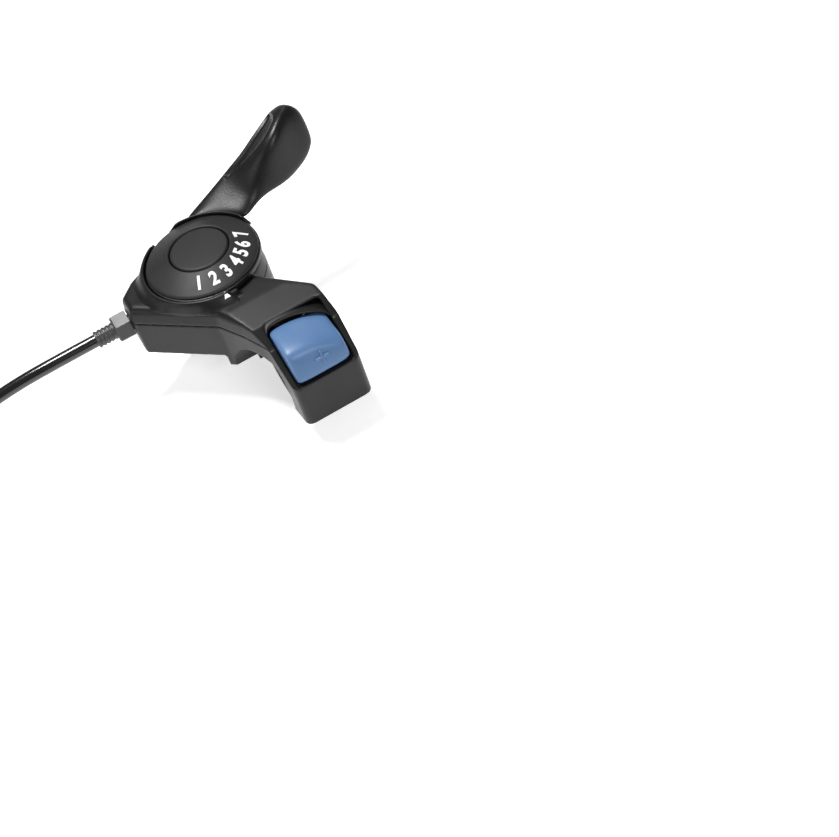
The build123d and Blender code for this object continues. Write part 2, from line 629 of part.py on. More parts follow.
HEAD_START, HEAD_END = NOSE_WALL - 0.4, -41.4
BARREL_R = 2.6
CABLE_START = -43.2
with BuildPart() as adjuster_barrel:
    with BuildSketch(across(HEAD_END, WIRE_Y, WIRE_Z)):
        RegularPolygon(4.5, 6, rotation=15)
    extrude(amount=HEAD_START - HEAD_END)
    chamfer(adjuster_barrel.edges().group_by(Axis.X)[0], 0.4)
    with BuildSketch(across(BARREL_END, WIRE_Y, WIRE_Z)):
        Circle(BARREL_R)
    extrude(amount=HEAD_END - BARREL_END)
    with BuildSketch(across(HEAD_START, WIRE_Y, WIRE_Z)):
        Circle(BOLT_R)
    extrude(amount=-29.5 - HEAD_START)
    for groove in range(4):
        with BuildSketch(across(BARREL_END + 0.9 + 1.3 * groove, WIRE_Y, WIRE_Z)):
            Circle(BARREL_R + 1)
            Circle(BARREL_R - 0.25, mode=Mode.SUBTRACT)
        extrude(amount=0.5, mode=Mode.SUBTRACT)
    with BuildSketch(across(BARREL_END - 1, WIRE_Y, WIRE_Z)):
        Circle(CABLE_R + RUNNING)
    extrude(amount=CABLE_START + 1 - BARREL_END, mode=Mode.SUBTRACT)
    with BuildSketch(across(CABLE_START - 1, WIRE_Y, WIRE_Z)):
        Circle(WIRE_R + 0.2)
    extrude(amount=20, mode=Mode.SUBTRACT)
adjuster_barrel.part.label = "adjuster_barrel"
export_step(adjuster_barrel.part, "parts/adjuster_barrel.step")

with BuildPart() as adjuster_insert:
    with BuildSketch(across(NOSE_WALL, WIRE_Y, WIRE_Z)):
        Circle(INSERT_R - 0.02)
        Circle(BOLT_R + RUNNING, mode=Mode.SUBTRACT)
    extrude(amount=6.0)
adjuster_insert.part.label = "adjuster_insert"
export_step(adjuster_insert.part, "parts/adjuster_insert.step")

# ---- inner wire and its guide inside the housing ------------------------------------------

BEND_R = 8.0
with BuildPart() as inner_wire:
    with BuildLine() as wire_path:
        FilletPolyline((CABLE_START + 0.02, WIRE_Y, WIRE_Z), (*wire_bend, WIRE_Z),
                       (*polar(DRUM_R, LEAVE), WIRE_Z), radius=BEND_R)
    with BuildSketch(wire_path.line ^ 0):
        Circle(WIRE_R)
    sweep()
inner_wire.part.label = "inner_wire"
export_step(inner_wire.part, "parts/inner_wire.step")

bend_turn = -bend_angle
bend_start = wire_bend[0] - BEND_R * tan(radians(bend_turn / 2))
bend_centre = (bend_start, WIRE_Y - BEND_R)
with BuildPart() as wire_guide:
    with BuildSketch(level(FLOOR_TOP)):
        with BuildLine():
            CenterArc(bend_centre, BEND_R - WIRE_R - 0.05, 35, 54)
            CenterArc(bend_centre, BEND_R - 3.4, 35, 54)
            for end in (35, 89):
                x_part, y_part = cos(radians(end)), sin(radians(end))
                inside, outside = BEND_R - 3.4, BEND_R - WIRE_R - 0.05
                Line((bend_centre[0] + inside * x_part, bend_centre[1] + inside * y_part),
                     (bend_centre[0] + outside * x_part, bend_centre[1] + outside * y_part))
        make_face()
    extrude(amount=WIRE_Z + 1.6 - FLOOR_TOP)
wire_guide.part.label = "wire_guide"
export_step(wire_guide.part, "parts/wire_guide.step")

# ---- cable housing: from the adjuster to its coil -----------------------------------------

COIL_RADII = (16.5, 20.5, 24.5)
COIL_ROWS = 4
TIE = 0.6
ROUNDED = 1.2
coil_x, coil_y = -132.0, 14.0
coil_bottom = GROUND + TIE
coil_height = COIL_ROWS * 2 * CABLE_R
top_turn = coil_bottom + coil_height - CABLE_R
low_turn = coil_bottom + CABLE_R

cable_route = [
    (BARREL_END, WIRE_Y, WIRE_Z),
    (-60.5, 36.0, 12.4),
    (-74.5, 37.1, 11.0),
    (-89.0, 38.2, 7.8),
    (-104.0, 38.7, 3.8),
    (-118.0, 38.5, 1.5),
    (-131.0, 38.5, 1.0),
]


def arc_radii(points):
    """For each corner, 0.45 of the shorter run over the tangent of half the turn."""
    radii = []
    for before, corner, after in zip(points, points[1:], points[2:]):
        run_in, run_out = Vector(*corner) - Vector(*before), Vector(*after) - Vector(*corner)
        half_turn = radians(run_in.get_angle(run_out)) / 2
        radii.append(0.45 * min(run_in.length, run_out.length) / tan(half_turn))
    return radii


cable_radii = arc_radii(cable_route)
print("cable arc radii", [round(radius, 1) for radius in cable_radii])
with BuildPart() as cable_housing:
    with BuildLine() as cable_path:
        FilletPolyline(*cable_route, radius=cable_radii)
    with BuildSketch(cable_path.line ^ 0):
        Circle(CABLE_R)
    sweep()
    with BuildSketch(across(CABLE_START, WIRE_Y, WIRE_Z)):
        Circle(CABLE_R)
    extrude(amount=BARREL_END - CABLE_START)
cable_length = sum(edge.length for edge in cable_path.line.edges())
print("cable tube", round(cable_housing.part.volume), "section times length",
      round(pi * CABLE_R ** 2 * (cable_length + CABLE_START - BARREL_END)))
cable_housing.part.label = "cable_housing"
export_step(cable_housing.part, "parts/cable_housing.step")

with BuildPart() as cable_coil:
    with BuildSketch(level(coil_bottom, coil_x, coil_y)):
        Circle(COIL_RADII[-1] + CABLE_R)
        Circle(COIL_RADII[0] - CABLE_R, mode=Mode.SUBTRACT)
    extrude(amount=coil_height)
    fillet(cable_coil.edges(), ROUNDED)
cable_coil.part.label = "cable_coil"
export_step(cable_coil.part, "parts/cable_coil.step")

TIE_ARC = 11.0
with BuildPart() as coil_ties:
    for bearing in (10, 215):
        spoke_x, spoke_y = cos(radians(bearing)), sin(radians(bearing))
        tie_plane = Plane(origin=(coil_x, coil_y, coil_bottom + coil_height / 2),
                          x_dir=(spoke_x, spoke_y, 0), z_dir=(spoke_y, -spoke_x, 0))
        section_width = COIL_RADII[-1] - COIL_RADII[0] + 2 * CABLE_R
        with BuildSketch(tie_plane):
            with Locations(((COIL_RADII[0] + COIL_RADII[-1]) / 2, 0)):
                RectangleRounded(section_width + 2 * TIE, coil_height + 2 * TIE, ROUNDED + TIE)
                RectangleRounded(section_width + 0.02, coil_height + 0.02, ROUNDED, mode=Mode.SUBTRACT)
        revolve(axis=Axis((coil_x, coil_y, 0), (0, 0, 1)), revolution_arc=TIE_ARC)
coil_ties.part.label = "coil_ties"
export_step(coil_ties.part, "parts/coil_ties.step")

# ---- the cable's far end: housing end, ferrule, moving wire and its crimp -----------------

end_x = coil_x - COIL_RADII[-1]
END_LENGTH = 34.0
FERRULE_R = 2.6
tube_end = coil_y - END_LENGTH


def along(y):
    """A plane across the cable's far end at y: its normal is +Y."""
    return Plane(origin=(end_x, y, low_turn), x_dir=(1, 0, 0), z_dir=(0, 1, 0))


with BuildPart() as cable_end:
    with BuildSketch(along(tube_end)):
        Circle(CABLE_R)
    extrude(amount=END_LENGTH)
    with BuildSketch(along(tube_end)):
        Circle(WIRE_R + 0.1)
    extrude(amount=21.0, mode=Mode.SUBTRACT)
cable_end.part.label = "cable_end"
export_step(cable_end.part, "parts/cable_end.step")

with BuildPart() as end_ferrule:
    with BuildSketch(along(tube_end - 3.0)):
        Circle(FERRULE_R)
        Circle(WIRE_R + 0.1, mode=Mode.SUBTRACT)
    extrude(amount=10.0)
    with BuildSketch(along(tube_end)):
        Circle(CABLE_R + 0.01)
    extrude(amount=10.0, mode=Mode.SUBTRACT)
end_ferrule.part.label = "end_ferrule"
export_step(end_ferrule.part, "parts/end_ferrule.step")

WIRE_OUT = 22.0
wire_inner, wire_outer = tube_end + 17.0, tube_end - 3.0 - WIRE_OUT
with BuildPart() as wire_tail:
    with BuildSketch(along(wire_outer)):
        Circle(WIRE_R)
    extrude(amount=wire_inner - wire_outer)
wire_tail.part.label = "wire_tail"
export_step(wire_tail.part, "parts/wire_tail.step")

with BuildPart() as wire_crimp:
    with BuildSketch(along(wire_outer - 0.6)):
        Circle(1.15)
    extrude(amount=5.0)
    with BuildSketch(along(wire_outer)):
        Circle(WIRE_R + 0.01)
    extrude(amount=8.0, mode=Mode.SUBTRACT)
wire_crimp.part.label = "wire_crimp"
export_step(wire_crimp.part, "parts/wire_crimp.step")
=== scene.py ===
import bmesh
import bpy
import json
from math import cos, pi, radians, sin, tau
from mathutils import Matrix, Vector


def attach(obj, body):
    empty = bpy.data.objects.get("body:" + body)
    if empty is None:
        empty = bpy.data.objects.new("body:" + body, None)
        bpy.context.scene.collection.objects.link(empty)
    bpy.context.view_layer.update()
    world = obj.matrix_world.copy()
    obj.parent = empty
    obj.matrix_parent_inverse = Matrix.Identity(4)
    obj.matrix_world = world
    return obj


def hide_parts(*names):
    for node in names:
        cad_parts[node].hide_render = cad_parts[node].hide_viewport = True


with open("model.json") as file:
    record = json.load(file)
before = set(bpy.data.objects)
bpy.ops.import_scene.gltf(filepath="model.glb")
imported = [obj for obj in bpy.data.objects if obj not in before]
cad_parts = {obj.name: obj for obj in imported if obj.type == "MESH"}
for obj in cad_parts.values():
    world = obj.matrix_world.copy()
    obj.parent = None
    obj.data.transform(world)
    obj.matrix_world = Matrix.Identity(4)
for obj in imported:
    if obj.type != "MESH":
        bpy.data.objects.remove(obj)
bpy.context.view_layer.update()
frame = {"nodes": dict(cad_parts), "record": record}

MM = 0.001
AXIS_X, AXIS_Y = -9.4, 32.4  # the dial's axis
DIAL_R, CAP_R = 17.0, 8.85
HUB_TOP, DIAL_RIM, DIAL_CROWN = 24.3, 25.1, 28.0

# the Mix node's sockets by number, since its colour sockets share their names with others
MIX_FACTOR, MIX_A, MIX_B, MIX_RESULT = 0, 6, 7, 2


def polar(radius, angle):
    """The point at this radius and angle about the dial's axis, in mm."""
    return (AXIS_X + radius * cos(radians(angle)), AXIS_Y + radius * sin(radians(angle)))


# ---- camera -------------------------------------------------------------------------------

# the photo's camera in the part's frame: its right and its back, with its place in metres below
right = Vector((0.856, -0.472, -0.210)).normalized()
back = Vector((-0.169, -0.640, 0.750)).normalized()
up = back.cross(right).normalized()
right = up.cross(back)
camera_data = bpy.data.cameras.new("camera")
camera_data.lens = 67.15
camera_data.sensor_width = 36.0
camera_data.clip_start = 0.01
camera = bpy.data.objects.new("camera", camera_data)
camera.matrix_world = Matrix((
    (right.x, up.x, back.x, -0.0551),
    (right.y, up.y, back.y, -0.3170),
    (right.z, up.z, back.z, 0.3229),
    (0, 0, 0, 1),
))
bpy.context.scene.collection.objects.link(camera)
bpy.context.scene.camera = camera


# ---- materials ----------------------------------------------------------------------------


class Nodes:
    """A material's node tree, with short calls to add and join nodes."""

    def __init__(self, name):
        self.material = bpy.data.materials.new(name)
        self.material.use_nodes = True
        self.tree = self.material.node_tree
        self.shader = self.tree.nodes["Principled BSDF"]

    def add(self, kind, **values):
        node = self.tree.nodes.new(kind)
        for key, value in values.items():
            if key in node.inputs:
                node.inputs[key].default_value = value
            else:
                setattr(node, key, value)
        return node

    def join(self, source, socket, target, name):
        self.tree.links.new(source.outputs[socket], target.inputs[name])

    def place(self):
        return self.add("ShaderNodeTexCoord")

    def noise(self, coords, scale, detail=3.0, roughness=0.55):
        node = self.add("ShaderNodeTexNoise", Scale=scale, Detail=detail, Roughness=roughness)
        self.join(coords, "Object", node, "Vector")
        return node

    def spread(self, source, socket, low, high):
        """Noise, which lies mostly between 0.3 and 0.7, spread over low to high."""
        node = self.add("ShaderNodeMapRange")
        node.inputs["From Min"].default_value = 0.3
        node.inputs["From Max"].default_value = 0.7
        node.inputs["To Min"].default_value = low
        node.inputs["To Max"].default_value = high
        self.join(source, socket, node, "Value")
        return node

    def mix(self, factor, socket, dark, light):
        node = self.add("ShaderNodeMix", data_type="RGBA")
        node.inputs[MIX_A].default_value = (*dark, 1)
        node.inputs[MIX_B].default_value = (*light, 1)
        self.tree.links.new(factor.outputs[socket], node.inputs[MIX_FACTOR])
        self.tree.links.new(node.outputs[MIX_RESULT], self.shader.inputs["Base Color"])
        return node

    def bump(self, source, socket, strength, distance):
        node = self.add("ShaderNodeBump", Strength=strength, Distance=distance)
        self.join(source, socket, node, "Height")
        self.join(node, "Normal", self.shader, "Normal")
        return node


def moulded(name, dark, light, rough, grain=5200.0, grain_depth=0.00002, coat=0.0, specular=0.5):
    """Injection-moulded plastic: a fine spark-eroded grain, and soft patches of handling sheen."""
    n = Nodes(name)
    where = n.place()
    grains = n.noise(where, grain, 2.0, 0.6)
    patches = n.noise(where, 90.0, 4.0, 0.6)
    n.mix(patches, "Fac", dark, light)
    sheen = n.spread(patches, "Fac", rough[0], rough[1])
    n.join(sheen, "Result", n.shader, "Roughness")
    n.bump(grains, "Fac", 0.5, grain_depth)
    n.shader.inputs["Coat Weight"].default_value = coat
    n.shader.inputs["Coat Roughness"].default_value = 0.15
    n.shader.inputs["Specular IOR Level"].default_value = specular
    return n.material


def metal(name, dark, light, rough):
    """Turned or plated metal, with dull patches and fine marks that lie square to Z."""
    n = Nodes(name)
    where = n.place()
    mapping = n.add("ShaderNodeMapping")
    mapping.inputs["Scale"].default_value = (1, 1, 12)
    n.join(where, "Object", mapping, "Vector")
    marks = n.add("ShaderNodeTexNoise", Scale=900.0, Detail=3.0, Roughness=0.6)
    n.join(mapping, "Vector", marks, "Vector")
    patches = n.noise(where, 160.0, 3.0)
    n.mix(patches, "Fac", dark, light)
    sheen = n.spread(marks, "Fac", rough[0], rough[1])
    n.join(sheen, "Result", n.shader, "Roughness")
    n.bump(marks, "Fac", 0.25, 0.00002)
    n.shader.inputs["Metallic"].default_value = 1.0
    return n.material


looks = {
    "housing_black": moulded("housing_plastic", (0.006, 0.006, 0.006), (0.010, 0.010, 0.010), (0.34, 0.46),
                             specular=0.26),
    "lever_black": moulded("lever_plastic", (0.005, 0.005, 0.005), (0.009, 0.009, 0.009), (0.30, 0.42),
                           grain=2300.0, grain_depth=0.00009, specular=0.3),
    "dial_grey": moulded("dial_plastic", (0.016, 0.016, 0.016), (0.022, 0.022, 0.022), (0.40, 0.50),
                         grain=6500.0, grain_depth=0.000015, specular=0.25),
    "button_blue": moulded("button_plastic", (0.075, 0.155, 0.31), (0.09, 0.18, 0.35), (0.32, 0.42),
                           grain=4500.0, grain_depth=0.00002, specular=0.35),
    "band_steel": metal("band_paint", (0.02, 0.02, 0.02), (0.035, 0.035, 0.035), (0.35, 0.55)),
    "fastener_steel": metal("plated_steel", (0.42, 0.42, 0.43), (0.56, 0.56, 0.57), (0.25, 0.42)),
    "black_steel": metal("black_oxide", (0.03, 0.03, 0.032), (0.06, 0.06, 0.062), (0.35, 0.5)),
    "spring_steel": metal("spring_steel", (0.36, 0.36, 0.38), (0.5, 0.5, 0.52), (0.2, 0.35)),
    "bush_bronze": metal("bush_bronze", (0.42, 0.27, 0.11), (0.55, 0.37, 0.17), (0.35, 0.5)),
    "insert_brass": metal("insert_brass", (0.50, 0.36, 0.14), (0.63, 0.47, 0.2), (0.22, 0.4)),
    "drum_nylon": moulded("nylon", (0.42, 0.42, 0.39), (0.5, 0.5, 0.47), (0.45, 0.6)),
    "washer_plastic": moulded("acetal", (0.6, 0.59, 0.55), (0.7, 0.69, 0.65), (0.4, 0.5)),
    "adjuster_grey": moulded("adjuster_plastic", (0.035, 0.035, 0.035), (0.05, 0.05, 0.05),
                             (0.34, 0.48), grain=4200.0),
    "cable_jacket": moulded("cable_sheath", (0.006, 0.006, 0.007), (0.010, 0.010, 0.011), (0.14, 0.24),
                            grain=2600.0, grain_depth=0.00001, coat=0.4),
    "wire_steel": metal("wire_steel", (0.4, 0.4, 0.41), (0.55, 0.55, 0.56), (0.22, 0.4)),
    "ferrule_metal": metal("ferrule_plating", (0.45, 0.45, 0.46), (0.6, 0.6, 0.61), (0.25, 0.4)),
    "tie_plastic": moulded("tie_nylon", (0.012, 0.012, 0.012), (0.02, 0.02, 0.02), (0.35, 0.5)),
}
white_print = moulded("white_print", (0.74, 0.74, 0.74), (0.84, 0.84, 0.83), (0.4, 0.5), grain_depth=0.00001)

for entry in frame["record"]["subparts"]:
    node = frame["nodes"][entry["node"]]
    node.data.materials.clear()
    node.data.materials.append(looks[entry["material_slot"]])


# ---- helpers for new pieces ---------------------------------------------------------------


def piece(name, mesh, slot, body, material=None, replaced=()):
    """A shown piece from a mesh in metres, on a body."""
    shape = bpy.data.objects.new(name, mesh)
    bpy.context.scene.collection.objects.link(shape)
    mesh.materials.append(material or looks[slot])
    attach(shape, body)
    if replaced:
        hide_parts(*replaced)
    return shape


def to_mesh(name, points, faces):
    """A mesh from points in mm."""
    mesh = bpy.data.meshes.new(name)
    mesh.from_pydata([(x * MM, y * MM, z * MM) for x, y, z in points], [], faces)
    bm = bmesh.new()
    bm.from_mesh(mesh)
    bmesh.ops.remove_doubles(bm, verts=bm.verts, dist=1e-7)
    bmesh.ops.recalc_face_normals(bm, faces=bm.faces)
    bm.to_mesh(mesh)
    bm.free()
    mesh.shade_smooth()
    return mesh


def loft(sections):
    """Points and faces of a closed surface through sections with the same number of points."""
    count = len(sections[0])
    points = [point for section in sections for point in section]
    faces = []
    for row in range(len(sections) - 1):
        for i in range(count):
            j = (i + 1) % count
            faces.append((row * count + i, row * count + j, (row + 1) * count + j,
                          (row + 1) * count + i))
    faces.append(tuple(reversed(range(count))))
    faces.append(tuple((len(sections) - 1) * count + i for i in range(count)))
    return points, faces


def lathe(name, profile, steps):
    """A mesh turned about the dial's axis: profile is (radius, height) in mm, first to last."""
    points = []
    for step in range(steps):
        turn = tau * step / steps
        for radius, height in profile:
            points.append((AXIS_X + radius * cos(turn), AXIS_Y + radius * sin(turn), height))
    count = len(profile)
    faces = []
    for step in range(steps):
        after = (step + 1) % steps
        for i in range(count - 1):
            faces.append((step * count + i, step * count + i + 1, after * count + i + 1,
                          after * count + i))
    return to_mesh(name, points, faces)


def round_profile(corners, radius):
    """The profile's points with every corner but the first and last rounded, in mm."""
    steps = 4
    out = [corners[0]]
    for before, corner, after in zip(corners, corners[1:], corners[2:]):
        b, c, a = Vector(before), Vector(corner), Vector(after)
        reach = min(radius, 0.45 * (b - c).length, 0.45 * (a - c).length)
        start, end = c + (b - c).normalized() * reach, c + (a - c).normalized() * reach
        for step in range(steps + 1):
            t = step / steps
            out.append(tuple(start * (1 - t) ** 2 + c * 2 * t * (1 - t) + end * t ** 2))
    out.append(corners[-1])
    return out


def subdivide(shape, levels):
    modifier = shape.modifiers.new("smooth", "SUBSURF")
    modifier.levels = levels
    modifier.render_levels = levels


# ---- cable --------------------------------------------------------------------------------

CABLE_R = 2.0
COIL_X, COIL_Y, COIL_TOP = -132.0, 14.0, 1.2  # the middle of the coil, and its top row
COIL_R = 24.7  # the middle line of the outer turns
COIL_TURNS = 10.25
TURN_POINTS = 18
CROSSING = 0.2  # the share of a turn in which the cable passes to the next column or row
END_X, END_Z = -156.5, -10.8
cable_points = [
    (-43.2, 35.7, 12.7),
    (-60.5, 36.0, 12.4),
    (-74.5, 37.1, 11.0),
    (-89.0, 38.2, 7.8),
    (-104.0, 38.7, 3.8),
    (-118.0, 38.5, 1.5),
]


def ramp(value, start, end):
    """A smooth step from 0 at the start to 1 at the end."""
    t = min(max((value - start) / (end - start), 0.0), 1.0)
    return t * t * (3 - 2 * t)


# Turns wind in, down a row, out, down, in, down and out again, one diameter a step.
column_steps = [(0.75, -4), (1.75, -4), (3.3, 4), (4.3, 4), (5.9, -4), (6.9, -4), (8.5, 4), (9.5, 4)]
row_steps = [2.5, 5.1, 7.7]
for index in range(int(COIL_TURNS * TURN_POINTS) + 1):
    turns = index / TURN_POINTS
    radius = COIL_R + sum(size * ramp(turns, start, start + CROSSING) for start, size in column_steps)
    height = COIL_TOP - sum(2 * CABLE_R * ramp(turns, start, start + CROSSING) for start in row_steps)
    angle = pi / 2 + tau * turns
    cable_points.append((COIL_X + radius * cos(angle), COIL_Y + radius * sin(angle), height))
cable_points += [(END_X, y, END_Z) for y in (8.0, -2.0, -11.0, -20.0)]

cable_line = bpy.data.curves.new("gear_cable", "CURVE")
cable_line.dimensions = "3D"
spline = cable_line.splines.new("NURBS")
spline.points.add(len(cable_points) - 1)
for point, (x, y, z) in zip(spline.points, cable_points):
    point.co = (x * MM, y * MM, z * MM, 1.0)
spline.order_u = 3
spline.use_endpoint_u = True
spline.resolution_u = 6
cable_line.bevel_depth = CABLE_R * MM
cable_line.bevel_resolution = 5
cable_line.use_fill_caps = True
cable_line.materials.append(looks["cable_jacket"])
gear_cable = bpy.data.objects.new("gear_cable", cable_line)
bpy.context.scene.collection.objects.link(gear_cable)
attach(gear_cable, "housing")
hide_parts("cable_housing", "cable_coil", "cable_end")


# ---- thumb lever --------------------------------------------------------------------------

# Each section at its X, as (y, z): up the thumb face from its lower edge, over the ridge and the
# top face, down the far side.
lever_stations = {
    -7.0: [(49.3, 22.5), (49.2, 23.2), (49.3, 23.9), (49.5, 24.3), (50.0, 24.5), (50.6, 24.5),
           (51.4, 24.2), (51.8, 23.7), (51.8, 22.9), (50.8, 22.5)],
    -3.0: [(47.8, 22.5), (47.8, 23.4), (48.2, 24.4), (48.9, 25.0), (49.8, 25.4), (50.9, 25.5),
           (52.6, 25.2), (53.3, 24.5), (53.2, 23.2), (51.0, 22.5)],
    1.0: [(45.8, 22.5), (45.8, 23.6), (46.6, 24.8), (47.6, 25.5), (48.9, 26.0), (50.7, 26.4),
          (53.3, 26.6), (54.4, 25.7), (54.0, 23.6), (50.0, 22.5)],
    5.0: [(42.9, 22.5), (43.0, 23.9), (44.3, 25.1), (46.4, 26.0), (48.8, 26.8), (50.9, 27.5),
          (54.0, 28.2), (55.1, 27.2), (54.4, 24.2), (49.0, 22.5)],
    8.5: [(39.4, 22.6), (39.9, 24.0), (42.2, 25.3), (46.0, 26.5), (49.4, 28.0), (51.6, 28.9),
          (54.4, 29.8), (55.6, 28.6), (54.6, 25.0), (48.0, 22.6)],
    12.5: [(42.0, 23.2), (42.6, 24.8), (44.2, 26.4), (46.9, 28.0), (49.9, 29.8), (51.8, 30.9),
           (54.6, 31.7), (56.0, 30.6), (55.2, 26.0), (49.0, 23.2)],
    17.0: [(43.3, 23.8), (43.8, 26.4), (44.6, 29.6), (46.0, 32.2), (48.0, 34.0), (50.0, 34.5),
           (54.5, 34.0), (56.4, 32.8), (55.6, 28.0), (50.0, 23.9)],
    21.0: [(43.0, 23.9), (43.5, 27.4), (44.2, 32.0), (45.0, 35.6), (46.7, 37.6), (48.6, 37.9),
           (55.0, 36.8), (57.2, 35.4), (56.0, 29.6), (50.0, 24.0)],
    25.0: [(43.6, 24.0), (44.2, 28.4), (44.9, 33.8), (45.5, 38.2), (47.0, 40.4), (49.2, 40.6),
           (56.0, 39.0), (58.2, 37.4), (56.4, 31.0), (50.0, 24.4)],
    29.0: [(45.0, 24.7), (45.9, 29.4), (47.0, 35.2), (48.3, 39.8), (50.0, 41.8), (52.4, 42.0),
           (57.2, 40.8), (59.3, 39.2), (57.0, 32.2), (51.0, 25.6)],
    32.5: [(46.5, 25.6), (47.6, 30.4), (49.2, 36.2), (51.2, 40.6), (53.2, 42.1), (55.2, 42.2),
           (58.2, 41.2), (59.3, 39.6), (57.2, 33.0), (52.0, 26.8)],
    35.2: [(48.3, 27.4), (49.2, 31.4), (50.8, 36.2), (52.6, 39.6), (54.2, 40.7), (55.6, 40.5),
           (57.2, 39.4), (57.8, 37.8), (56.4, 33.0), (52.6, 28.6)],
    36.9: [(50.2, 29.9), (50.8, 32.4), (51.8, 35.2), (52.9, 37.2), (53.9, 37.8), (54.6, 37.6),
           (55.4, 36.7), (55.6, 35.4), (54.8, 32.8), (52.6, 30.4)],
}
TIP_SHIFT = 1.3  # how much further out the tip stands than the stations say
sections = [[(x + TIP_SHIFT * ramp(x, 12, 30), y, z) for y, z in points]
            for x, points in lever_stations.items()]
lever_mesh = to_mesh("lever_arm", *loft(sections))

# the sunk panel in the top face, with a narrow border and sloping sides
PANEL_START, PANEL_END, PANEL_EDGE = 10.5 * MM, 31.0 * MM, 50.8 * MM
PANEL_BORDER, PANEL_SLOPE, PANEL_DEPTH = 0.9 * MM, 0.4 * MM, 1.1 * MM
shape_bm = bmesh.new()
shape_bm.from_mesh(lever_mesh)
panel = [f for f in shape_bm.faces
         if len(f.verts) == 4
         and PANEL_START < f.calc_center_median().x < PANEL_END
         and f.normal.z > 0.5
         and f.calc_center_median().y > PANEL_EDGE]
bmesh.ops.inset_region(shape_bm, faces=panel, thickness=PANEL_BORDER, depth=0.0)
bmesh.ops.inset_region(shape_bm, faces=panel, thickness=PANEL_SLOPE, depth=-PANEL_DEPTH)
shape_bm.to_mesh(lever_mesh)
shape_bm.free()
lever_arm = piece("lever_arm", lever_mesh, "lever_black", "lever", replaced=["thumb_lever"])
subdivide(lever_arm, 3)

hub = lathe("lever_hub", round_profile([(4.06, 22.45), (4.06, 24.0), (17.0, 24.28), (17.5, 24.1),
                                        (17.5, 22.5), (9.6, 22.45), (9.6, 17.3), (4.06, 17.3),
                                        (4.06, 22.45)], 0.25), 96)
piece("lever_hub", hub, "lever_black", "lever")

# the lever's inner wall, which follows the dial's rim
WALL_START, WALL_SWEEP, WALL_STEPS = 14, 88, 40
WALL_RISE = 0.12  # the share of the wall over which each end rises
wall_sections = []
for step in range(WALL_STEPS + 1):
    share = step / WALL_STEPS
    angle = WALL_START + WALL_SWEEP * share
    lift = min(1.0, share / WALL_RISE, (1 - share) / WALL_RISE)
    crest = 24.2 + 1.5 * ramp(lift, 0, 1)
    profile = [(17.35, 22.5), (17.35, crest - 0.25), (17.5, crest), (17.85, crest + 0.02),
               (18.3, crest - 0.3), (18.7, 23.6), (18.8, 22.5)]
    wall_sections.append([(*polar(radius, angle), z) for radius, z in profile])
wall = to_mesh("lever_wall", *loft(wall_sections))
subdivide(piece("lever_wall", wall, "lever_black", "lever"), 2)

# ---- dial, cap and digits -----------------------------------------------------------------

BORE_R = CAP_R + 0.3  # the dial's hole round the cap
CONE_IN, CONE_OUT = CAP_R + 0.75, DIAL_R - 0.55  # where the numbered cone begins and ends
CONE_LOW = DIAL_RIM + 0.05
dial_profile = round_profile([(BORE_R, 25.0), (BORE_R, 27.7), (CONE_IN, DIAL_CROWN),
                              (CONE_OUT, CONE_LOW), (DIAL_R, DIAL_RIM - 0.35),
                              (DIAL_R, HUB_TOP + 0.02), (BORE_R, HUB_TOP + 0.02),
                              (BORE_R, 25.0)], 0.35)
dial = lathe("dial_face", dial_profile, 144)
piece("dial_face", dial, "dial_grey", "lever", replaced=["indicator_dial"])

DOME_R, DOME_FOOT, DOME_RISE, DOME_STEPS = CAP_R - 0.45, DIAL_CROWN + 0.03, 0.25, 12
cap_corners = [(CAP_R, HUB_TOP + 0.1), (CAP_R, DIAL_CROWN - 0.35), (DOME_R, DOME_FOOT)]
dome = [(DOME_R * (1 - step / DOME_STEPS), DOME_FOOT + DOME_RISE * (1 - (1 - step / DOME_STEPS) ** 2))
        for step in range(1, DOME_STEPS + 1)]
cap_profile = round_profile(cap_corners + dome[:1], 0.4)[:-1] + dome
piece("dial_cap_face", lathe("dial_cap_face", cap_profile, 128),
      "dial_grey", "lever", replaced=["dial_cap"])

# the digits lie on the cone, a hair above it, and read from outside the dial
DIGIT_R, DIGIT_SIZE, DIGIT_NARROW, DIGIT_ABOVE = 13.1, 5.9, 0.80, 0.03
slope = (CONE_LOW - DIAL_CROWN) / (CONE_OUT - CONE_IN)
digit_z = DIAL_CROWN + (DIGIT_R - CONE_IN) * slope + DIGIT_ABOVE
digit_angles = {"1": -114.7, "2": -94.5, "3": -75.5, "4": -57.5, "5": -41.7, "6": -26.9, "7": -7.1}
for digit, angle in digit_angles.items():
    text = bpy.data.curves.new("digit_" + digit, "FONT")
    text.body = digit
    text.align_x = "CENTER"
    text.align_y = "CENTER"
    text.size = DIGIT_SIZE * MM
    text.offset = 0.2 * MM
    text.extrude = 0.06 * MM
    text.resolution_u = 6
    letter = bpy.data.objects.new("digit_" + digit, text)
    bpy.context.scene.collection.objects.link(letter)
    bpy.context.view_layer.update()
    mesh = bpy.data.meshes.new_from_object(letter.evaluated_get(bpy.context.evaluated_depsgraph_get()))
    bpy.data.objects.remove(letter)
    outward = Vector((cos(radians(angle)), sin(radians(angle)), slope)).normalized()
    rise = -outward
    across = Vector((-sin(radians(angle)), cos(radians(angle)), 0))
    normal = across.cross(rise)
    centre = Vector((*polar(DIGIT_R, angle), digit_z)) * MM
    basis = Matrix.Translation(centre) @ Matrix((across, rise, normal)).transposed().to_4x4()
    mesh.transform(basis @ Matrix.Diagonal((DIGIT_NARROW, 1.0, 1.0, 1.0)))
    mesh.materials.clear()
    piece("digit_" + digit, mesh, None, "lever", material=white_print)

# ---- release button -----------------------------------------------------------------------

